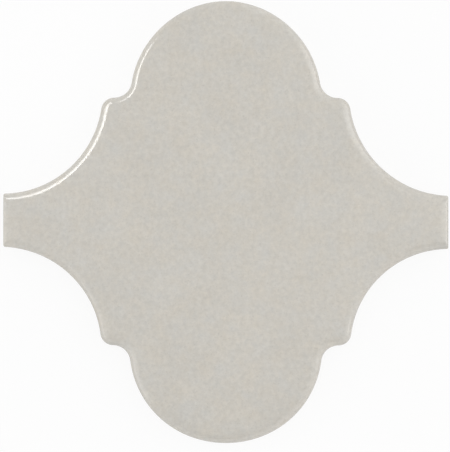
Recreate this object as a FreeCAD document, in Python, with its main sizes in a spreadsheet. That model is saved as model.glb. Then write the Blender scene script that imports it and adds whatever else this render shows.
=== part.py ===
"""A glazed arabesque wall tile: one pressed and fired ceramic piece, lying on its back.

The plan has a round lobe at the top and bottom, a straight end at the left and right, and between
them, in each corner, a cove, a bead and a large socket. All are arcs that meet without a corner.
Tiles of this outline lock together: each lobe sits in the socket that two neighbours make side by
side, and each bead sits in a cove, with one even joint between them. Half a joint outside the tile,
the stretch from a crown to an end repeats under a half turn about the middle of its shoulder, and
that rule sets the lobe and the socket once the width, height, end, bead and joint are given.

The glazed face is level, with an edge that rolls over: wide along the arcs and tight along the two
straight ends. The back has a plain rim inside a small bevel, and within it shallow square cells
that the press leaves between raised ribs, so that the adhesive can key. The ribs widen towards
their roots, so that the punch comes away clean.

Origin: middle of the back, at the level of the rim and ribs. +Z is the glazed side, +Y points
through the upper lobe and +X through the right end. Lengths are in millimetres.
"""

import FreeCAD, Part
import math
import os

import Sketcher
from FreeCAD import Vector

SIZES = (
    ("tile_width", 120.0, "across the two straight ends"),
    ("tile_height", 119.4, "from crown to crown of the two lobes"),
    ("end_height", 14.4, "length of each straight end"),
    ("bead_radius", 3.5, "round nose of each shoulder, in plan"),
    ("grout_joint", 1.2, "joint that the outline leaves to its neighbours"),
    ("tile_thickness", 8.0, "from the ribs of the back to the glazed face"),
    ("face_round", 2.2, "rolled edge of the face along the arcs"),
    ("end_round", 1.1, "tighter edge of the face along the straight ends"),
    ("back_bevel", 0.8, "bevel round the back"),
    ("rim_width", 5.0, "plain rim of the back, outside the cells"),
    ("cell_depth", 0.8, "depth of the cells in the back"),
    ("cell_pitch", 14.0, "from one rib of the back to the next"),
    ("rib_width", 2.4, "width of each rib between the cells, at its tip"),
    ("rib_draft", 15.0, "slope of each side of a rib, in degrees from upright"),
)

ROUND_LIMIT = 0.9  # the rolled edge takes at most this share of the bead's radius
LEVEL = 1e-6  # heights closer than this are the same level

QUARTER_TURN = math.pi / 2
HALF_TURN = math.pi
START, END, CENTRE = range(1, 4)  # the named points of an arc or a line in a sketch
X_AXIS, Y_AXIS = range(-1, -3, -1)  # a sketch's own axes, of which the first starts at the origin
ORIGIN_POINT = (X_AXIS, START)


def make_sheet(doc):
    """The driving dimensions, one row each: name, value, what it measures."""
    sheet = doc.addObject("Spreadsheet::Sheet", "sizes")
    for row, (alias, value, meaning) in enumerate(SIZES, start=1):
        sheet.set(f"A{row}", alias)
        sheet.set(f"B{row}", str(value))
        sheet.set(f"C{row}", meaning)
        sheet.setAlias(f"B{row}", alias)
    doc.recompute()
    return sheet


def origin_plane(body, role):
    """One of a body's own three base planes."""
    return next(f for f in body.Origin.OriginFeatures if f.Role == role)


def sketch_on(body, role, name):
    """An empty sketch in one of a body's base planes."""
    sketch = body.newObject("Sketcher::SketchObject", name)
    sketch.AttachmentSupport = [(origin_plane(body, role), "")]
    sketch.MapMode = "FlatFace"
    return sketch


def arc(centre, radius, first, last):
    """An arc round centre, anticlockwise from the angle first to the angle last."""
    return Part.ArcOfCircle(Part.Circle(centre, Vector(0, 0, 1), radius), first, last)


def bind(sketch, name, expression, *constraint):
    """A named constraint whose value follows the sheet."""
    index = sketch.addConstraint(Sketcher.Constraint(*constraint))
    sketch.renameConstraint(index, name)
    sketch.setExpression(f"Constraints.{name}", expression)


def quarter_outline(body, sheet):
    """The upper right quarter of the plan: lobe, cove, bead, socket and half an end.

    The places worked out here start the sketch where its constraints hold it.
    """
    width, height = sheet.tile_width, sheet.tile_height
    joint, bead_radius = sheet.grout_joint, sheet.bead_radius
    pitch = width + joint
    lean = QUARTER_TURN - 2 * math.atan((height - sheet.end_height) / pitch)
    reach = pitch / 4 / math.cos(lean)
    cove_radius = bead_radius + joint
    lobe_radius = reach - cove_radius
    socket_radius = reach - bead_radius
    lobe_centre = Vector(0, height / 2 - lobe_radius)
    cove_centre = lobe_centre + Vector(pitch / 4, reach * math.sin(lean))
    bead_centre = cove_centre - Vector(0, cove_radius + bead_radius)
    socket_centre = bead_centre + Vector(pitch / 4, reach * math.sin(lean))
    end_corner = Vector(width / 2, sheet.end_height / 2)
    to_corner = end_corner - socket_centre
    socket_last = 4 * QUARTER_TURN + math.atan2(to_corner.y, to_corner.x)
    end_foot = Vector(width / 2, 0)
    crown = Vector(0, height / 2)

    sketch = sketch_on(body, "XY_Plane", "quarter_outline")
    lobe = sketch.addGeometry(arc(lobe_centre, lobe_radius, lean, QUARTER_TURN))
    cove = sketch.addGeometry(arc(cove_centre, cove_radius, HALF_TURN + lean, 3 * QUARTER_TURN))
    bead = sketch.addGeometry(arc(bead_centre, bead_radius, lean, QUARTER_TURN))
    socket = sketch.addGeometry(arc(socket_centre, socket_radius, HALF_TURN + lean, socket_last))
    end = sketch.addGeometry(Part.LineSegment(end_corner, end_foot))
    level_side = sketch.addGeometry(Part.LineSegment(end_foot, Vector()))
    upright_side = sketch.addGeometry(Part.LineSegment(Vector(), crown))
    lobe_to_cove = sketch.addGeometry(Part.LineSegment(lobe_centre, cove_centre), True)
    bead_to_socket = sketch.addGeometry(Part.LineSegment(bead_centre, socket_centre), True)

    for constraint in (
        ("Coincident", level_side, END, *ORIGIN_POINT),
        ("Coincident", upright_side, START, *ORIGIN_POINT),
        ("Coincident", end, END, level_side, START),
        ("Horizontal", level_side),
        ("Vertical", upright_side),
        ("Vertical", end),
        ("Coincident", upright_side, END, lobe, END),
        ("PointOnObject", lobe, CENTRE, Y_AXIS),
        ("Tangent", lobe, START, cove, START),
        ("Tangent", cove, END, bead, END),
        ("Tangent", bead, START, socket, START),
        ("Coincident", socket, END, end, START),
        ("Vertical", cove, CENTRE, bead, CENTRE),
        ("Coincident", lobe_to_cove, START, lobe, CENTRE),
        ("Coincident", lobe_to_cove, END, cove, CENTRE),
        ("Coincident", bead_to_socket, START, bead, CENTRE),
        ("Coincident", bead_to_socket, END, socket, CENTRE),
        ("Parallel", lobe_to_cove, bead_to_socket),
    ):
        sketch.addConstraint(Sketcher.Constraint(*constraint))

    bind(sketch, "half_width", "sizes.tile_width / 2", "DistanceX", *ORIGIN_POINT, end, END, end_foot.x)
    bind(sketch, "half_height", "sizes.tile_height / 2", "DistanceY", *ORIGIN_POINT, lobe, END, crown.y)
    bind(sketch, "half_end", "sizes.end_height / 2", "DistanceY", end, END, end, START, end_corner.y)
    bind(sketch, "bead_radius", "sizes.bead_radius", "Radius", bead, bead_radius)
    bind(sketch, "cove_radius", "sizes.bead_radius + sizes.grout_joint", "Radius", cove, cove_radius)
    bind(sketch, "shoulder_middle", "(sizes.tile_width + sizes.grout_joint) / 4",
         "DistanceX", *ORIGIN_POINT, cove, CENTRE, cove_centre.x)
    bind(sketch, "joint_middle", "(sizes.tile_width + sizes.grout_joint) / 2",
         "DistanceX", *ORIGIN_POINT, socket, CENTRE, socket_centre.x)
    return sketch


def pressed_blank(doc, sheet):
    """The whole plan at full thickness: the quarter, mirrored to the left and then down."""
    body = doc.addObject("PartDesign::Body", "pressed_blank")
    quarter = body.newObject("PartDesign::Pad", "quarter_blank")
    quarter.Profile = quarter_outline(body, sheet)
    quarter.setExpression("Length", "sizes.tile_thickness")

    whole = body.newObject("PartDesign::MultiTransform", "whole_blank")
    whole.Originals = [quarter]
    mirrors = []
    for name, role in (("mirror_left", "YZ_Plane"), ("mirror_down", "XZ_Plane")):
        mirror = doc.addObject("PartDesign::Mirrored", name)
        mirror.MirrorPlane = (origin_plane(body, role), [""])
        body.addObject(mirror)
        mirrors.append(mirror)
    whole.Transformations = mirrors
    whole.Refine = True
    body.Tip = whole
    doc.recompute()
    return body, whole


def edges_at(shape, height):
    """Numbers and edges of a shape that lie in one level plane."""
    return [
        (number, edge)
        for number, edge in enumerate(shape.Edges, start=1)
        if all(abs(vertex.Z - height) < LEVEL for vertex in edge.Vertexes)
    ]


def rolled_face(doc, sheet, blank):
    """The edge of the glazed face rolled over: wide along the arcs, tight along the ends."""
    wide = min(sheet.face_round, ROUND_LIMIT * sheet.bead_radius)
    tight = min(sheet.end_round, wide)
    rolled = doc.addObject("Part::Fillet", "rolled_face")
    rolled.Base = blank
    radii = []
    for number, edge in edges_at(blank.Shape, sheet.tile_thickness):
        radius = tight if isinstance(edge.Curve, Part.Line) else wide
        radii.append((number, radius, radius))
    rolled.Edges = radii
    doc.recompute()
    return rolled


def bevelled_back(doc, sheet, rolled):
    """The bevel round the back, which lets the tile leave the die and clears the adhesive."""
    bevelled = doc.addObject("Part::Chamfer", "bevelled_back")
    bevelled.Base = rolled
    bevel = sheet.back_bevel
    bevelled.Edges = [(number, bevel, bevel) for number, edge in edges_at(rolled.Shape, 0)]
    doc.recompute()
    return bevelled


def rib_section(body, name, role, count):
    """Section of the first rib of a row, at the far end of the row: narrow tip, wider root.

    Both base planes that stand upright have the row along their first axis and height along
    their second.
    """
    sketch = sketch_on(body, role, f"{name}_section")
    tip, root, depth = 1.0, 1.5, 1.0
    corners = (Vector(-tip), Vector(tip), Vector(root, depth), Vector(-root, depth))
    tip_line, right_side, root_line, left_side = (
        sketch.addGeometry(Part.LineSegment(corner, corners[(index + 1) % len(corners)]))
        for index, corner in enumerate(corners)
    )
    loop = (tip_line, right_side, root_line, left_side, tip_line)
    for line, following in zip(loop, loop[1:]):
        sketch.addConstraint(Sketcher.Constraint("Coincident", line, END, following, START))
    sketch.addConstraint(Sketcher.Constraint("Horizontal", tip_line))
    sketch.addConstraint(Sketcher.Constraint("Horizontal", root_line))
    sketch.addConstraint(Sketcher.Constraint("Equal", left_side, right_side))
    sketch.addConstraint(Sketcher.Constraint("PointOnObject", tip_line, START, X_AXIS))
    bind(sketch, "tip", "sizes.rib_width", "DistanceX", tip_line, START, tip_line, END, 2 * tip)
    bind(sketch, "depth", "sizes.cell_depth", "DistanceY", tip_line, END, root_line, START, depth)
    bind(sketch, "root", "sizes.rib_width + 2 * sizes.cell_depth * tan(sizes.rib_draft * 1deg)",
         "DistanceX", root_line, END, root_line, START, 2 * root)
    bind(sketch, "place", f"{(count - 1) / 2} * sizes.cell_pitch + sizes.rib_width / 2",
         "DistanceX", tip_line, START, *ORIGIN_POINT, tip)
    return sketch


def rib_grooves(body, name, role, row_axis, length, count):
    """Grooves of the punch that leave a row of ribs, evenly spaced with one in the middle."""
    groove = body.newObject("PartDesign::Pocket", name)
    groove.Profile = rib_section(body, name, role, count)
    groove.Midplane = True
    groove.setExpression("Length", f"sizes.{length}")
    pattern = body.newObject("PartDesign::LinearPattern", f"{name}s")
    pattern.Originals = [groove]
    pattern.Direction = (origin_plane(body, row_axis), [""])
    pattern.setExpression("Length", f"{count - 1} * sizes.cell_pitch")
    pattern.Occurrences = count
    body.Tip = pattern


def back_punch(doc, sheet, whole):
    """The face of the punch that presses the cells: the plan less the rim, grooved both ways."""
    body = doc.addObject("PartDesign::Body", "back_punch")
    body.AllowCompound = True
    back = next(
        f"Face{number}"
        for number, face in enumerate(whole.Shape.Faces, start=1)
        if all(abs(vertex.Z) < LEVEL for vertex in face.Vertexes)
    )
    inside_rim = body.newObject("PartDesign::SubShapeBinder", "inside_rim")
    inside_rim.Support = [(whole, (back,))]
    inside_rim.MakeFace = True
    inside_rim.setExpression("Offset", "-sizes.rim_width")
    inside_rim.OffsetJoinType = "Intersection"

    field = body.newObject("PartDesign::Pad", "cell_field")
    field.Profile = inside_rim
    field.UseCustomVector = True
    field.Direction = Vector(0, 0, 1)
    field.setExpression("Length", "sizes.cell_depth")
    for name, role, row_axis, row, length in (
        ("level_rib", "YZ_Plane", "Y_Axis", sheet.tile_height, "tile_width"),
        ("upright_rib", "XZ_Plane", "X_Axis", sheet.tile_width, "tile_height"),
    ):
        ribs_each_side = math.floor(row / 2 / sheet.cell_pitch)
        rib_grooves(body, name, role, row_axis, length, 2 * ribs_each_side + 1)
    doc.recompute()
    return body


def build():
    """The document with the finished tile."""
    doc = FreeCAD.newDocument("arabesque_tile")
    sheet = make_sheet(doc)
    blank, whole = pressed_blank(doc, sheet)
    bevelled = bevelled_back(doc, sheet, rolled_face(doc, sheet, blank))
    tile = doc.addObject("Part::Cut", "arabesque_tile")
    tile.Base = bevelled
    tile.Tool = back_punch(doc, sheet, whole)
    doc.recompute()
    return doc, tile


def check(doc, tile):
    """Stops if any object failed or the tile isn't one sound solid."""
    failed = [obj.Label for obj in doc.Objects if {"Invalid", "Error"} & set(obj.State)]
    if failed:
        raise RuntimeError(f"these objects failed: {failed}")
    if tile.Shape.isNull() or not tile.Shape.isValid() or len(tile.Shape.Solids) != 1:
        raise RuntimeError("the tile isn't one sound solid")


def main():
    doc, tile = build()
    check(doc, tile)
    os.makedirs("parts", exist_ok=True)
    tile.Shape.exportStep(f"parts/{tile.Label}.step")
    box = tile.Shape.optimalBoundingBox()
    print(f"{tile.Label}: {box.XLength:.2f} x {box.YLength:.2f} x {box.ZLength:.2f} mm,",
          f"{tile.Shape.Volume / 1000:.2f} cm3, {len(tile.Shape.Faces)} faces")


main()
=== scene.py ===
"""The looks of a glazed arabesque wall tile, lying on its back and seen from straight above.

One piece stands for the tile. Its skin is glaze over the face, the rolled edge and the upper
sides, down to a thick uneven lip, and bare fired clay below the lip and over the ribbed back.
Places and sizes are in metres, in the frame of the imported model: +Z out of the glazed face,
+Y through the upper lobe, +X through the right end.
"""

import math

import bpy
import numpy as np
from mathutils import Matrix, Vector, geometry, noise


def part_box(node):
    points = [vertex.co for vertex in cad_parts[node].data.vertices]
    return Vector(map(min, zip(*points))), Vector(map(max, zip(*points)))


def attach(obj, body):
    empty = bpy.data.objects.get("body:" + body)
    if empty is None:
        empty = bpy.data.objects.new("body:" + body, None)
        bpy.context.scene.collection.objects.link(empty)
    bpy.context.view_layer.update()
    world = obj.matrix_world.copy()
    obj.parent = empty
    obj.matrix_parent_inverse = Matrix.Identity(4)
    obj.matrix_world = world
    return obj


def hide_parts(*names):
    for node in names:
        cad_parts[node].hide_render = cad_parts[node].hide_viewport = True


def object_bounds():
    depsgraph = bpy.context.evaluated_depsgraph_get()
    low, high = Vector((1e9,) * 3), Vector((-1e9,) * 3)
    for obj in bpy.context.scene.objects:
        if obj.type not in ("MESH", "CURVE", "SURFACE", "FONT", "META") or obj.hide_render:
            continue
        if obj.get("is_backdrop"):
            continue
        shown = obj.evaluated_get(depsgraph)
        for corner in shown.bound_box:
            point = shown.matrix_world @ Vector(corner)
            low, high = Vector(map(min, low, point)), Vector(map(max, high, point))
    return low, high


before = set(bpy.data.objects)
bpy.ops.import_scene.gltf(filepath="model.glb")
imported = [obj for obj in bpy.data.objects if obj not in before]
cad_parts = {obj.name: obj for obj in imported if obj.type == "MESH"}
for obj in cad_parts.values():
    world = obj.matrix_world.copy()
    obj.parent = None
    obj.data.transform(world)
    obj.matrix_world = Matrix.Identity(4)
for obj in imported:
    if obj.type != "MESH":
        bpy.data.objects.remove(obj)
cad_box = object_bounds()

NODE = "arabesque_tile"
MM = 0.001
QUARTER_TURN, HALF_TURN, FULL_TURN = math.pi / 2, math.pi, 2 * math.pi

# Sizes of the tile, the same as in the solid
LOW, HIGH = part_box(NODE)
WIDTH, HEIGHT, THICKNESS = HIGH - LOW
END_HEIGHT = 14.4 * MM
BEAD_RADIUS = 3.5 * MM
GROUT_JOINT = 1.2 * MM
FACE_ROUND = 2.2 * MM
END_ROUND = 1.1 * MM
BACK_BEVEL = 0.8 * MM
RIM_WIDTH = 5.0 * MM
CELL_DEPTH = 0.8 * MM
CELL_PITCH = 14.0 * MM
RIB_WIDTH = 2.4 * MM
RIB_DRAFT = math.radians(15)
ROLL_FOOT = THICKNESS - FACE_ROUND  # height at which the sides turn into the rolled edge

# What only the skin has: rounded upright corners at the two ends, and the glaze's lip
CORNER_ROUND = 0.3 * MM
GLAZE_DEPTH = 0.22 * MM  # how far the glaze stands out from the bare clay of the sides
LIP_DEPTH = GLAZE_DEPTH * 1.6  # height of the lip's rounded edge
LIP_HEIGHT = 2.7 * MM  # mean height at which that edge starts
LIP_WANDER = 0.75 * MM  # how far the lip rises and falls along the sides
LIP_PERIOD, LIP_SEED = 9.0 * MM, 3.1
LIP_RIPPLE = 0.3 * LIP_WANDER  # size of the smaller rises and falls on those
LIP_RIPPLE_PERIOD, LIP_RIPPLE_SEED = LIP_PERIOD / 3, 8.4

# The unevenness of the glazed face and its rolled edge
ROLL_WANDER = 0.13  # share by which the rolled edge's width varies along the outline
ROLL_PERIOD, ROLL_SEED = 13.0 * MM, 97.42
END_REACH = 4 * MM  # distance from the ends over which that variation fades out
FACE_WAVE = 0.035 * MM  # depth of the long soft waves of the glazed face
FACE_WAVE_PERIOD, FACE_WAVE_SEED = 26.0 * MM, 5.7
FACE_RIPPLE = 0.008 * MM  # depth of the short ripples on them
FACE_RIPPLE_PERIOD, FACE_RIPPLE_SEED = 7.0 * MM, 1.9
FACE_FALL = 0.15 * MM  # how far the face falls away where it meets the outline
FALL_WIDTH = 5.5 * MM
NOISE_GAIN = 1.6  # brings the noise to about -1 to 1

# The slight warp of the whole tile
LOBE_WARP = 2.2 * MM  # sets how much the upper lobe drew in and the lower one spread
MIDDLE_WARP = 0.22 * MM  # how far the middle bowed upwards between the crowns
ARM_WARP = 0.29 * MM  # how far the left arm rose and the right one sank

# The worn edges of the ribs and of the cells' floors: their size, and parts of it that shape them
TIP_ROUND = 0.12 * MM
TIP_FLAT, TIP_STEEP, TIP_DROP = 0.3, 0.5, 1.2

# How finely the skin is divided
LOBE_POINTS, COVE_POINTS, BEAD_POINTS = 56, 22, 22  # along each part of a quarter outline
SOCKET_POINTS, CORNER_POINTS, END_POINTS = 64, 8, 10
ROLL_RINGS, LIP_RINGS = 14, 5
GLAZED_SHARES = (0.3, 0.6, 0.9)  # where rings lie from the rolled edge down to the lip
CLAY_SHARES = (0.5, 1.0)  # and from the lip down to the bevel
BEVEL_SHARES = (0.25, 0.5, 0.75, 1.0)  # and down the bevel
GRID_STEP = 1.0 * MM  # spacing of the points over the face
GRID_CLEARANCE = GRID_STEP * 0.6  # least distance from them to the face's edge
POINT_SPACING = 0.15 * MM  # least distance between the corners of a cell
SHARP_ANGLE = math.radians(38)  # edges that turn more than this aren't shaded smoothly
INSIDE_ONLY, WELD_DISTANCE = 1, 1e-7  # settings of the triangulation

# The skin's materials, as they are numbered on the tile
GLAZE, CLAY = 0, 1

# The outline's chain of arcs, as centres and radii. Half a joint outside it, the stretch from a
# crown to an end repeats under a half turn, which sets the lobe and the socket.
LATTICE = WIDTH + GROUT_JOINT
LEAN = QUARTER_TURN - 2 * math.atan((HEIGHT - END_HEIGHT) / LATTICE)
REACH = LATTICE / 4 / math.cos(LEAN)
COVE_RADIUS = BEAD_RADIUS + GROUT_JOINT
LOBE_RADIUS = REACH - COVE_RADIUS
SOCKET_RADIUS = REACH - BEAD_RADIUS
LOBE_CENTRE = np.array((0.0, HEIGHT / 2 - LOBE_RADIUS))
COVE_CENTRE = LOBE_CENTRE + (LATTICE / 4, REACH * math.sin(LEAN))
BEAD_CENTRE = COVE_CENTRE - (0.0, COVE_RADIUS + BEAD_RADIUS)
SOCKET_CENTRE = BEAD_CENTRE + (LATTICE / 4, REACH * math.sin(LEAN))


def arc(centre, radius, first, last, count):
    """Points round a centre from the angle first up to, but not at, the angle last."""
    angles = np.linspace(first, last, count, endpoint=False)
    return centre + radius * np.column_stack((np.cos(angles), np.sin(angles)))


def line(start, stop, count):
    """Points from start up to, but not at, stop."""
    return np.linspace(start, stop, count, endpoint=False)


def angle_of(offset):
    """The angle of a flat offset, from -180 to 180 degrees, in radians."""
    return math.atan2(offset[1], offset[0])


def mirrored_ring(quarter):
    """A closed ring, clockwise from the upper crown, from its upper right quarter."""
    flip_x, flip_y = np.array((-1.0, 1.0)), np.array((1.0, -1.0))
    back = quarter[::-1]
    return np.vstack(
        (
            quarter[:-1],
            (back * flip_y)[:-1],
            (quarter * flip_x * flip_y)[:-1],
            (back * flip_x)[:-1],
        )
    )


def outline_ring(inset, end_inset):
    """The outline moved inwards, by one distance along the arcs and another along the ends."""
    end_x = WIDTH / 2 - end_inset
    corner_x = end_x - CORNER_ROUND
    reach = SOCKET_RADIUS + inset + CORNER_ROUND
    corner_y = SOCKET_CENTRE[1] - math.sqrt(reach**2 - (SOCKET_CENTRE[0] - corner_x) ** 2)
    corner = np.array((corner_x, corner_y))
    to_corner = angle_of(corner - SOCKET_CENTRE) + FULL_TURN
    from_corner = angle_of(SOCKET_CENTRE - corner)
    quarter = np.vstack(
        (
            arc(LOBE_CENTRE, LOBE_RADIUS - inset, QUARTER_TURN, LEAN, LOBE_POINTS),
            arc(COVE_CENTRE, COVE_RADIUS + inset, HALF_TURN + LEAN, 3 * QUARTER_TURN, COVE_POINTS),
            arc(BEAD_CENTRE, BEAD_RADIUS - inset, QUARTER_TURN, LEAN, BEAD_POINTS),
            arc(SOCKET_CENTRE, SOCKET_RADIUS + inset, HALF_TURN + LEAN, to_corner, SOCKET_POINTS),
            arc(corner, CORNER_ROUND, from_corner, 0, CORNER_POINTS),
            line((end_x, corner_y), (end_x, 0), END_POINTS),
            ((end_x, 0),),
        )
    )
    return mirrored_ring(quarter)


def field_ring(inset):
    """The outline moved in by more than a bead's radius, where cove meets socket in a corner."""
    end_x = WIDTH / 2 - inset
    cove_radius, socket_radius = COVE_RADIUS + inset, SOCKET_RADIUS + inset
    between = SOCKET_CENTRE - COVE_CENTRE
    apart = np.hypot(*between)
    along = (apart**2 + cove_radius**2 - socket_radius**2) / (2 * apart)
    across = math.sqrt(cove_radius**2 - along**2)
    unit = between / apart
    meet = COVE_CENTRE + unit * along + np.array((unit[1], -unit[0])) * across
    end_y = SOCKET_CENTRE[1] - math.sqrt(socket_radius**2 - (SOCKET_CENTRE[0] - end_x) ** 2)
    end_corner = np.array((end_x, end_y))
    cove_stop = angle_of(meet - COVE_CENTRE) % FULL_TURN
    socket_start = angle_of(meet - SOCKET_CENTRE) % FULL_TURN
    socket_stop = angle_of(end_corner - SOCKET_CENTRE) % FULL_TURN
    quarter = np.vstack(
        (
            arc(LOBE_CENTRE, LOBE_RADIUS - inset, QUARTER_TURN, LEAN, LOBE_POINTS),
            arc(COVE_CENTRE, cove_radius, HALF_TURN + LEAN, cove_stop, COVE_POINTS),
            arc(SOCKET_CENTRE, socket_radius, socket_start, socket_stop, SOCKET_POINTS),
            (end_corner,),
            ((end_x, 0),),
        )
    )
    return mirrored_ring(quarter)


def inward_normals(ring):
    """Unit vectors across a clockwise ring, into it."""
    ahead = np.roll(ring, -1, axis=0) - np.roll(ring, 1, axis=0)
    ahead /= np.linalg.norm(ahead, axis=1)[:, None]
    return np.column_stack((ahead[:, 1], -ahead[:, 0]))


def soft_noise(points, period, seed):
    """Smooth noise of about -1 to 1 at flat points, one wave in each period."""
    values = [noise.noise(Vector((x / period, y / period, seed))) * NOISE_GAIN for x, y in points]
    return np.array(values).clip(-1, 1)


def with_height(ring, height):
    """A flat ring at one height, or at a height for each of its points."""
    return np.column_stack((ring, np.broadcast_to(height, len(ring))))


class Skin:
    """The tile's skin as it grows: points, faces, and the material of each face."""

    def __init__(self):
        self.points = []
        self.faces = []
        self.materials = []

    def add_ring(self, ring):
        """Adds points and returns their numbers."""
        first = len(self.points)
        self.points.extend(map(tuple, ring))
        return list(range(first, first + len(ring)))

    def join(self, outer, inner, material):
        """Adds a band of quads from a ring to the one inside or above it."""
        for index in range(len(outer)):
            after = (index + 1) % len(outer)
            self.faces.append((outer[index], inner[index], inner[after], outer[after]))
            self.materials.append(material)

    def add_faces(self, faces, material):
        """Adds faces of one material, each a tuple of the numbers of its points."""
        self.faces.extend(faces)
        self.materials.extend([material] * len(faces))


def roll_inset(height, radius):
    """How far a rolled edge has turned inwards at a height."""
    rise = max(0.0, height - (THICKNESS - radius))
    return radius - math.sqrt(max(0.0, radius**2 - rise**2))


def near_ends(ring):
    """0 along the straight ends and the corners beside them, 1 further away."""
    away = (WIDTH / 2 - np.abs(ring[:, 0])) / END_REACH
    return away.clip(0, 1)


def rolled_rings(base, normals):
    """Rings of the rolled edge, from the face down to the upright sides."""
    wander = ROLL_WANDER * soft_noise(base, ROLL_PERIOD, ROLL_SEED) * near_ends(base)
    rings = []
    for turn in np.linspace(QUARTER_TURN, 0, ROLL_RINGS):
        height = THICKNESS - FACE_ROUND * (1 - math.sin(turn))
        inset = roll_inset(height, FACE_ROUND)
        ring = outline_ring(inset, roll_inset(height, END_ROUND))
        rings.append(with_height(ring + normals * (inset * wander)[:, None], height))
    return rings


def side_rings(base, normals):
    """Rings of the sides: the glaze down to its lip, then the bare clay and the back's bevel."""
    lip = LIP_HEIGHT + LIP_WANDER * soft_noise(base, LIP_PERIOD, LIP_SEED)
    lip += LIP_RIPPLE * soft_noise(base, LIP_RIPPLE_PERIOD, LIP_RIPPLE_SEED)
    glazed = [
        with_height(base, ROLL_FOOT + (lip - ROLL_FOOT) * share) for share in GLAZED_SHARES
    ]
    for turn in np.linspace(0, QUARTER_TURN, LIP_RINGS):
        inset = GLAZE_DEPTH * (1 - math.cos(turn))
        glazed.append(with_height(base + normals * inset, lip - LIP_DEPTH * math.sin(turn)))
    foot = lip - LIP_DEPTH
    bare = outline_ring(GLAZE_DEPTH, GLAZE_DEPTH)
    clay = [with_height(bare, foot + (BACK_BEVEL - foot) * share) for share in CLAY_SHARES]
    for share in BEVEL_SHARES:
        inset = GLAZE_DEPTH + BACK_BEVEL * share
        clay.append(with_height(outline_ring(inset, inset), BACK_BEVEL * (1 - share)))
    return glazed, clay


def inside(points, ring):
    """Which flat points lie inside a closed ring."""
    crossings = np.zeros(len(points), int)
    for start, stop in zip(ring, np.roll(ring, -1, axis=0)):
        spans = (start[1] > points[:, 1]) != (stop[1] > points[:, 1])
        if spans.any():
            slope = (stop[0] - start[0]) / (stop[1] - start[1])
            crossings += spans & (points[:, 0] < start[0] + slope * (points[:, 1] - start[1]))
    return crossings % 2 == 1


def add_face(skin, rim, ring):
    """The level face inside a ring of the skin: an even grid of points, joined to the ring."""
    xs = np.arange(-WIDTH / 2, WIDTH / 2, GRID_STEP)
    ys = np.arange(-HEIGHT / 2, HEIGHT / 2, GRID_STEP)
    grid = np.array([(x + GRID_STEP / 2 * (row % 2), y) for row, y in enumerate(ys) for x in xs])
    grid = grid[inside(grid, ring)]
    clear = [np.hypot(*(ring - point).T).min() > GRID_CLEARANCE for point in grid]
    grid = grid[clear]
    flat = [Vector(point) for point in np.vstack((ring, grid))]
    edges = [(index, (index + 1) % len(ring)) for index in range(len(ring))]
    _, _, triangles, sources, _, _ = geometry.delaunay_2d_cdt(
        flat, edges, [], INSIDE_ONLY, WELD_DISTANCE
    )
    numbers = rim + skin.add_ring(with_height(grid, THICKNESS))
    own = [numbers[source[0]] for source in sources]
    skin.add_faces([tuple(own[corner] for corner in triangle) for triangle in triangles], GLAZE)


def clipped(polygon, axis, limit, keep_below):
    """The part of a flat polygon below or above a limit along one axis."""
    sign = 1 if keep_below else -1
    kept = []
    for start, stop in zip(polygon, polygon[1:] + polygon[:1]):
        here, there = sign * (start[axis] - limit), sign * (stop[axis] - limit)
        if here <= 0:
            kept.append(start)
        if here * there < 0:
            kept.append(start + (stop - start) * (here / (here - there)))
    return kept


def narrowed(polygon, inset):
    """A clockwise polygon with every side moved inwards by the same distance."""
    points = np.array(polygon)
    sides = np.roll(points, -1, axis=0) - points
    sides /= np.linalg.norm(sides, axis=1)[:, None]
    across = np.column_stack((sides[:, 1], -sides[:, 0]))
    before = np.roll(across, 1, axis=0)
    bisector = before + across
    bisector /= (1 + (before * across).sum(axis=1))[:, None]
    return points + bisector * inset


def without_near_points(polygon):
    """A polygon without points that lie almost on their neighbour."""
    kept = [polygon[0]]
    for point in polygon[1:]:
        if np.hypot(*(point - kept[-1])) > POINT_SPACING:
            kept.append(point)
    if np.hypot(*(kept[-1] - kept[0])) < POINT_SPACING:
        kept.pop()
    return kept


def cell_polygons():
    """The mouths of the cells: the field inside the rim, cut into squares by the ribs."""
    field = list(field_ring(RIM_WIDTH))
    half = (CELL_PITCH - RIB_WIDTH) / 2
    columns = math.ceil(WIDTH / 2 / CELL_PITCH)
    centres = [(index + 0.5) * CELL_PITCH for index in range(-columns, columns)]
    for x in centres:
        for y in centres:
            cell = field
            for axis, middle in ((0, x), (1, y)):
                cell = clipped(cell, axis, middle - half, False)
                cell = clipped(cell, axis, middle + half, True) if cell else cell
            if len(cell) > 2:
                yield without_near_points(cell)


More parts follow.
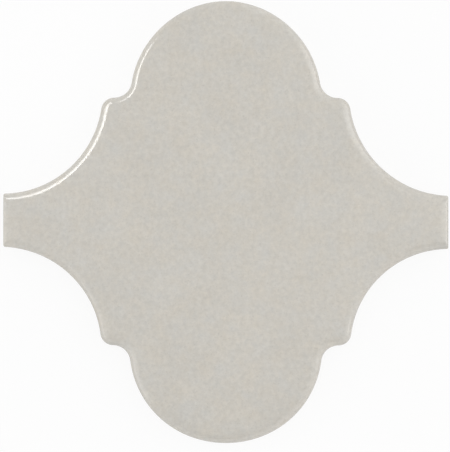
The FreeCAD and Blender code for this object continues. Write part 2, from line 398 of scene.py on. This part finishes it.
def add_back(skin, rim, ring):
    """The back inside its bevel: the rim and ribs in one level, and the cells sunk between them."""
    slope = CELL_DEPTH * math.tan(RIB_DRAFT)
    # Insets and heights, over a rib's worn edge, down its side and into the cell's floor
    levels = (
        (-TIP_ROUND, 0.0),
        (-TIP_ROUND * TIP_FLAT, TIP_ROUND * TIP_FLAT),
        (TIP_ROUND * TIP_STEEP, TIP_ROUND * TIP_DROP),
        (slope, CELL_DEPTH - TIP_ROUND),
        (slope + TIP_ROUND * TIP_FLAT, CELL_DEPTH - TIP_ROUND * TIP_FLAT),
        (slope + TIP_ROUND, CELL_DEPTH),
    )
    mouths, flat_points, numbers = [], list(ring), list(rim)
    for polygon in cell_polygons():
        rings = [
            skin.add_ring(with_height(narrowed(polygon, inset), height)) for inset, height in levels
        ]
        for outer, inner in zip(rings, rings[1:]):
            skin.join(inner, outer, CLAY)  # the other way round, as a cell is seen from below
        skin.add_faces([tuple(rings[-1])], CLAY)
        first = len(flat_points)
        flat_points.extend(narrowed(polygon, levels[0][0]))
        numbers.extend(rings[0])
        mouths.append(list(reversed(range(first, len(flat_points)))))
    outlines = [list(reversed(range(len(ring))))] + mouths
    _, _, triangles, sources, _, owners = geometry.delaunay_2d_cdt(
        [Vector(point) for point in flat_points], [], outlines, INSIDE_ONLY, WELD_DISTANCE
    )
    own = [numbers[source[0]] for source in sources]
    level = [
        tuple(own[corner] for corner in reversed(triangle))
        for triangle, owner in zip(triangles, owners)
        if list(owner) == [0]
    ]
    skin.add_faces(level, CLAY)


def face_waves(points):
    """Depth of the soft waves and short ripples of the glaze, at flat points."""
    long_waves = soft_noise(points, FACE_WAVE_PERIOD, FACE_WAVE_SEED)
    short_waves = soft_noise(points, FACE_RIPPLE_PERIOD, FACE_RIPPLE_SEED)
    return FACE_WAVE * (1 + long_waves) / 2 + FACE_RIPPLE * (1 + short_waves) / 2


def face_fall(points, outline):
    """How far the face falls away towards the outline, at flat points."""
    inset = np.array([np.hypot(*(outline - point).T).min() for point in points])
    return FACE_FALL * (1 - inset / FALL_WIDTH).clip(0, 1) ** 2


def uneven(points, outline):
    """Points lowered by the unevenness of the glaze, fully on the face and less down its edge."""
    share = ((points[:, 2] - ROLL_FOOT) / FACE_ROUND).clip(0, 1)
    high = share > 0
    depth = face_waves(points[high, :2]) + face_fall(points[high, :2], outline)
    lowered = points.copy()
    lowered[high, 2] -= share[high] * depth
    return lowered


def fired(points):
    """Points moved as firing warped the tile. Its ends and crowns stay in their planes."""
    across = points[:, 0] / (WIDTH / 2)
    along = points[:, 1] / (HEIGHT / 2)
    moved = points.copy()
    moved[:, 0] -= LOBE_WARP * (1 - across**2) * across * along**3
    moved[:, 1] += MIDDLE_WARP * (1 - along**2) - ARM_WARP * across**3
    return moved


def make_tile():
    """The whole skin as one mesh object."""
    skin = Skin()
    base = outline_ring(0, 0)
    normals = inward_normals(base)
    rolled = rolled_rings(base, normals)
    glazed, clay = side_rings(base, normals)

    rings = [skin.add_ring(ring) for ring in rolled + glazed + clay]
    last_glazed = len(rolled) + len(glazed) - 1
    for index, (inner, outer) in enumerate(zip(rings, rings[1:])):
        skin.join(outer, inner, GLAZE if index < last_glazed else CLAY)
    add_face(skin, rings[0], rolled[0][:, :2])
    add_back(skin, rings[-1], clay[-1][:, :2])

    mesh = bpy.data.meshes.new("tile_skin")
    points = fired(uneven(np.array(skin.points), base))
    mesh.from_pydata(points.tolist(), [], skin.faces)
    mesh.polygons.foreach_set("material_index", skin.materials)
    mesh.polygons.foreach_set("use_smooth", [True] * len(skin.faces))
    mesh.update()
    mesh.set_sharp_from_angle(angle=SHARP_ANGLE)
    tile = bpy.data.objects.new("tile_skin", mesh)
    bpy.context.scene.collection.objects.link(tile)
    return tile


class Nodes:
    """Short ways to add and join the nodes of a material or a world."""

    def __init__(self, owner):
        owner.use_nodes = True
        self.tree = owner.node_tree

    def new(self, kind, **settings):
        """A new node with some of its settings."""
        node = self.tree.nodes.new(kind)
        for name, value in settings.items():
            setattr(node, name, value)
        return node

    def link(self, source, target):
        """Joins an output to an input."""
        self.tree.links.new(source, target)

    def calculate(self, kind, operation, first, second=None):
        """The output of a math node. First is a socket, second a socket, a number or a vector."""
        node = self.new(kind, operation=operation)
        self.link(first, node.inputs[0])
        if isinstance(second, bpy.types.NodeSocket):
            self.link(second, node.inputs[1])
        elif second is not None:
            node.inputs[1].default_value = second
        return next(socket for socket in node.outputs if socket.enabled)

    def span(self, value, low, high, to_low, to_high, curve="LINEAR"):
        """A value mapped from one span to another, and held inside it."""
        node = self.new("ShaderNodeMapRange", interpolation_type=curve)
        for name, number in zip(("From Min", "From Max", "To Min", "To Max"),
                                (low, high, to_low, to_high)):
            node.inputs[name].default_value = number
        self.link(value, node.inputs["Value"])
        return node.outputs["Result"]

    def for_camera(self, share, plain, seen):
        """A shader that is plain, with a share of the seen one where the camera looks at it."""
        to_camera = self.new("ShaderNodeLightPath").outputs["Is Camera Ray"]
        mix = self.new("ShaderNodeMixShader")
        self.link(self.calculate("ShaderNodeMath", "MULTIPLY", to_camera, share), mix.inputs[0])
        self.link(plain, mix.inputs[1])
        self.link(seen, mix.inputs[2])
        return mix.outputs[0]


NOISE_LOW, NOISE_HIGH = 0.3, 0.7  # most of a noise of 0 to 1 lies between these


class SurfaceNodes(Nodes):
    """The nodes of a material that is laid over the tile."""

    def __init__(self, material):
        super().__init__(material)
        self.shader = self.tree.nodes["Principled BSDF"]
        self.place = self.new("ShaderNodeTexCoord").outputs["Object"]

    def noise(self, period, detail=2.0, roughness=0.5):
        """Noise of 0 to 1 with about one wave in each period."""
        node = self.new("ShaderNodeTexNoise")
        node.inputs["Scale"].default_value = 1 / period
        node.inputs["Detail"].default_value = detail
        node.inputs["Roughness"].default_value = roughness
        self.link(self.place, node.inputs["Vector"])
        return node.outputs["Fac"]

    def varied(self, period, low, high, detail=2.0, roughness=0.5):
        """A value that wanders from low to high."""
        value = self.noise(period, detail, roughness)
        return self.span(value, NOISE_LOW, NOISE_HIGH, low, high)

    def spots(self, period, edge, full, outside, inside, detail=0.0):
        """One value outside the peaks of a noise and another inside them, from edge to full."""
        return self.span(self.noise(period, detail), edge, full, outside, inside)

    def ramp(self, value, *stops):
        """A value turned into a colour by stops of (place, colour)."""
        node = self.new("ShaderNodeValToRGB")
        for element, (position, colour) in zip(node.color_ramp.elements, stops):
            element.position = position
            element.color = (*colour, 1)
        self.link(value, node.inputs["Fac"])
        return node.outputs["Color"]

    def blend(self, factor, first, second, mode="MIX"):
        """Two colours mixed by a factor, which is a socket or a number."""
        node = self.new("ShaderNodeMix", data_type="RGBA", blend_type=mode)
        colours = [socket for socket in node.inputs if socket.type == "RGBA"]
        if isinstance(factor, float):
            node.inputs["Factor"].default_value = factor
        else:
            self.link(factor, node.inputs["Factor"])
        for socket, colour in zip(colours, (first, second)):
            if isinstance(colour, tuple):
                socket.default_value = (*colour, 1)
            else:
                self.link(colour, socket)
        return next(socket for socket in node.outputs if socket.type == "RGBA")

    def bump(self, height, distance, before=None):
        """A bump of a height of 0 to 1 times a distance, on top of the bump before it."""
        node = self.new("ShaderNodeBump")
        node.inputs["Distance"].default_value = distance
        self.link(height, node.inputs["Height"])
        if before is not None:
            self.link(before, node.inputs["Normal"])
        return node.outputs["Normal"]


# The glaze: its colours where it is warm and where it is cool, and the specks' colour
WARM_GLAZE, COOL_GLAZE = (0.608, 0.571, 0.505), (0.586, 0.571, 0.533)
SPECK_COLOUR = (0.46, 0.43, 0.38)
WARM_END, COOL_END = 0.32, 0.68  # places of the two colours in the noise of the tint
TINT = dict(period=6 * MM, detail=5.0, roughness=0.75)
CLOUDS = dict(period=11 * MM, low=0.98, high=1.02)
GRAINS = dict(period=1.3 * MM, low=0.93, high=1.07, detail=2.5, roughness=0.8)
SPECKS = dict(period=0.45 * MM, edge=0.72, full=0.80, outside=0.0, inside=0.35)
GLAZE_ROUGHNESS = dict(period=5 * MM, low=0.16, high=0.20, detail=3.0)
PEEL = dict(period=2.2 * MM, detail=1.0)
PEEL_DEPTH = 0.003 * MM
PINHOLES = dict(period=0.8 * MM, edge=0.80, full=0.86, outside=1.0, inside=0.0)
PINHOLE_DEPTH = 0.02 * MM
GLAZE_IOR = 1.52


def glaze_material():
    """Warm light grey gloss glaze: faint clouds of tone and tint, fine grains, a few specks."""
    material = bpy.data.materials.new("glaze")
    nodes = SurfaceNodes(material)
    shader = nodes.shader
    tinted = nodes.ramp(nodes.noise(**TINT), (WARM_END, WARM_GLAZE), (COOL_END, COOL_GLAZE))
    clouded = nodes.blend(1.0, tinted, nodes.varied(**CLOUDS), "MULTIPLY")
    grained = nodes.blend(1.0, clouded, nodes.varied(**GRAINS), "MULTIPLY")
    specked = nodes.blend(nodes.spots(**SPECKS), grained, SPECK_COLOUR)
    nodes.link(specked, shader.inputs["Base Color"])
    nodes.link(nodes.varied(**GLAZE_ROUGHNESS), shader.inputs["Roughness"])
    peeled = nodes.bump(nodes.noise(**PEEL), PEEL_DEPTH)
    pitted = nodes.bump(nodes.spots(**PINHOLES), PINHOLE_DEPTH, peeled)
    nodes.link(pitted, shader.inputs["Normal"])
    shader.inputs["IOR"].default_value = GLAZE_IOR
    return material


# The bare clay: its colours where it is dark and where it is pale, and the grog's colour
DARK_CLAY, PALE_CLAY = (0.600, 0.520, 0.410), (0.700, 0.620, 0.505)
GROG_COLOUR = (0.34, 0.25, 0.17)
DARK_END, PALE_END = 0.25, 0.75  # places of the two colours in the noise of the tone
TONE = dict(period=14 * MM, detail=4.0, roughness=0.6)
DUST = dict(period=1.1 * MM, low=0.93, high=1.05, detail=4.0)
GROG = dict(period=0.55 * MM, edge=0.64, full=0.74, outside=0.0, inside=0.55, detail=1.0)
CLAY_ROUGHNESS = dict(period=3 * MM, low=0.78, high=0.92)
CLAY_GRAIN = dict(period=0.35 * MM, detail=4.0, roughness=0.65)
CLAY_GRAIN_DEPTH = 0.06 * MM
PRESS_MARKS = dict(period=2.6 * MM)
PRESS_MARK_DEPTH = 0.05 * MM


def clay_material():
    """Bare fired clay: pale cream, matt and grainy, with clouds of tone and darker grog."""
    material = bpy.data.materials.new("fired_clay")
    nodes = SurfaceNodes(material)
    shader = nodes.shader
    toned = nodes.ramp(nodes.noise(**TONE), (DARK_END, DARK_CLAY), (PALE_END, PALE_CLAY))
    dusted = nodes.blend(1.0, toned, nodes.varied(**DUST), "MULTIPLY")
    grogged = nodes.blend(nodes.spots(**GROG), dusted, GROG_COLOUR)
    nodes.link(grogged, shader.inputs["Base Color"])
    nodes.link(nodes.varied(**CLAY_ROUGHNESS), shader.inputs["Roughness"])
    grained = nodes.bump(nodes.noise(**CLAY_GRAIN), CLAY_GRAIN_DEPTH)
    pressed = nodes.bump(nodes.noise(**PRESS_MARKS), PRESS_MARK_DEPTH, grained)
    nodes.link(pressed, shader.inputs["Normal"])
    return material


FLOOR_REACH = 3.0  # half the floor's width
FLOOR_COLOUR = (0.86, 0.86, 0.86, 1)
FLOOR_ROUGHNESS = 0.9
FLOOR_GLOW = 0.9  # share of plain white in what the camera sees of the floor
WHITE = (1, 1, 1, 1)


def make_floor():
    """A plain white floor that keeps a faint shadow of the tile."""
    mesh = bpy.data.meshes.new("floor")
    signs = ((-1, -1), (1, -1), (1, 1), (-1, 1))
    corners = [(FLOOR_REACH * x, FLOOR_REACH * y, 0) for x, y in signs]
    mesh.from_pydata(corners, [], [(0, 1, 2, 3)])
    floor = bpy.data.objects.new("floor", mesh)
    bpy.context.scene.collection.objects.link(floor)
    material = bpy.data.materials.new("white_floor")
    nodes = Nodes(material)
    paper = nodes.tree.nodes["Principled BSDF"]
    paper.inputs["Base Color"].default_value = FLOOR_COLOUR
    paper.inputs["Roughness"].default_value = FLOOR_ROUGHNESS
    glow = nodes.new("ShaderNodeEmission")
    seen = nodes.for_camera(FLOOR_GLOW, paper.outputs[0], glow.outputs[0])
    nodes.link(seen, nodes.tree.nodes["Material Output"].inputs["Surface"])
    mesh.materials.append(material)
    floor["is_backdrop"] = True


# The surround. Places in it are parts of a unit direction.
SKY_LIGHT = 0.91  # its even light
GAP_PLACE = (0.0, -0.5, 0.0)  # the middle of a darker gap towards the photo's foot
GAP_WIDTH, GAP_HEIGHT = 0.32, 0.36  # half sizes of the gap
GAP_FULL, GAP_END = 0.80, 1.25  # where its soft edge starts and ends, as parts of the half sizes
GAP_LIGHT = 0.05  # share of the light that is left in the gap
RIGHT_GAIN, RIGHT_START, RIGHT_FULL = 1.35, 0.09, 0.24  # more light to the right, and from where
LEFT_GAIN, LEFT_START, LEFT_FULL = 1.7, -0.6, -0.95  # more light low down to the left


def make_world():
    """A white surround with a darker gap towards the photo's foot, brighter to the sides."""
    world = bpy.data.worlds.new("surround")
    bpy.context.scene.world = world
    nodes = Nodes(world)
    direction = nodes.new("ShaderNodeTexCoord").outputs["Generated"]
    from_gap = nodes.calculate("ShaderNodeVectorMath", "SUBTRACT", direction, GAP_PLACE)
    per_size = (1 / GAP_WIDTH, 1 / GAP_HEIGHT, 0)
    in_gap = nodes.calculate("ShaderNodeVectorMath", "MULTIPLY", from_gap, per_size)
    radius = nodes.calculate("ShaderNodeVectorMath", "LENGTH", in_gap)
    gap = nodes.span(radius, GAP_FULL, GAP_END, GAP_LIGHT, 1.0, "SMOOTHSTEP")
    parts = nodes.new("ShaderNodeSeparateXYZ")
    nodes.link(direction, parts.inputs[0])
    rightward = parts.outputs["X"]
    sky = nodes.span(
        rightward, RIGHT_START, RIGHT_FULL, SKY_LIGHT, SKY_LIGHT * RIGHT_GAIN, "SMOOTHSTEP"
    )
    low_left = nodes.span(rightward, LEFT_START, LEFT_FULL, 1.0, LEFT_GAIN, "SMOOTHSTEP")
    sides = nodes.calculate("ShaderNodeMath", "MULTIPLY", sky, low_left)
    strength = nodes.calculate("ShaderNodeMath", "MULTIPLY", gap, sides)
    light = nodes.tree.nodes["Background"]
    light.inputs["Color"].default_value = WHITE
    nodes.link(strength, light.inputs["Strength"])
    white = nodes.new("ShaderNodeBackground")
    white.inputs["Color"].default_value = WHITE
    seen = nodes.for_camera(1.0, light.outputs[0], white.outputs[0])
    nodes.link(seen, nodes.tree.nodes["World Output"].inputs["Surface"])


# Lamps that only show as highlights: name, place, the point it is turned to, width, height,
# brightness with 1 for white, and the whole angle of its light in degrees. The strip stands
# beside the upper left shoulder, the panels further out to the sides.
TILE_MIDDLE = (0, 0, 0)
ALL_ROUND = 180
LAMPS = (
    ("strip", (-0.0574, 0.0465, 0.033), (-0.0478, 0.0429, 0.005), 0.052, 0.026, 16.0, 100),
    ("left_panel", (-1.1, -0.2, 0.42), TILE_MIDDLE, 1.2, 0.40, 1.8, ALL_ROUND),
    ("upper_left_panel", (-0.65, -0.16, 0.99), TILE_MIDDLE, 0.9, 0.75, 0.75, ALL_ROUND),
    ("right_panel", (1.07, 0.24, 0.50), TILE_MIDDLE, 1.2, 0.60, 1.9, ALL_ROUND),
    ("upper_right_panel", (0.65, 0.17, 0.99), TILE_MIDDLE, 0.6, 0.80, 1.5, ALL_ROUND),
)


def add_lamp(name, place, aim, width, height, glow, spread):
    """A soft rectangular lamp, which neither the camera nor matt light sees."""
    half_spread = math.radians(spread / 2)
    lamp = bpy.data.lights.new(name, "AREA")
    lamp.shape = "RECTANGLE"
    lamp.size, lamp.size_y = width, height
    lamp.spread = 2 * half_spread
    lamp.energy = glow * width * height * math.pi * (1 - half_spread / math.tan(half_spread))
    panel = bpy.data.objects.new(name, lamp)
    panel.location = place
    panel.rotation_euler = (Vector(place) - Vector(aim)).to_track_quat("Z", "Y").to_euler()
    panel.visible_camera = False
    panel.visible_diffuse = False
    bpy.context.scene.collection.objects.link(panel)


# The photograph: its size, the middle of the tile in it, and the tile's width, all in pixels
PHOTO_WIDTH, PHOTO_HEIGHT = 450, 452
TILE_X, TILE_Y, TILE_PIXELS = 225.805, 222.098, 444.0
LENS, SENSOR = 135, 36  # in millimetres, as the camera takes them
NEAREST, FURTHEST = 0.01, 20  # in metres, what the camera sees lies between these


def make_camera():
    """A long lens straight above, framed as in the photograph."""
    camera = bpy.data.cameras.new("camera")
    camera.lens, camera.sensor_width = LENS, SENSOR
    camera.sensor_fit = "HORIZONTAL"
    camera.clip_start, camera.clip_end = NEAREST, FURTHEST
    pixel = WIDTH / TILE_PIXELS
    distance = PHOTO_WIDTH * pixel * LENS / SENSOR
    holder = bpy.data.objects.new("camera", camera)
    holder.location = (
        (PHOTO_WIDTH / 2 - TILE_X) * pixel,
        (TILE_Y - PHOTO_HEIGHT / 2) * pixel,
        ROLL_FOOT + distance,
    )
    bpy.context.scene.collection.objects.link(holder)
    bpy.context.scene.camera = holder


tile = make_tile()
tile.data.materials.append(glaze_material())
tile.data.materials.append(clay_material())
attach(tile, "root")
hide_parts(NODE)

make_floor()
make_world()
for lamp in LAMPS:
    add_lamp(*lamp)
make_camera()
bpy.context.scene.view_settings.view_transform = "Standard"

boxes = {"cad": cad_box, "visual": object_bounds()}
{name: [list(corner) for corner in box] for name, box in boxes.items()}
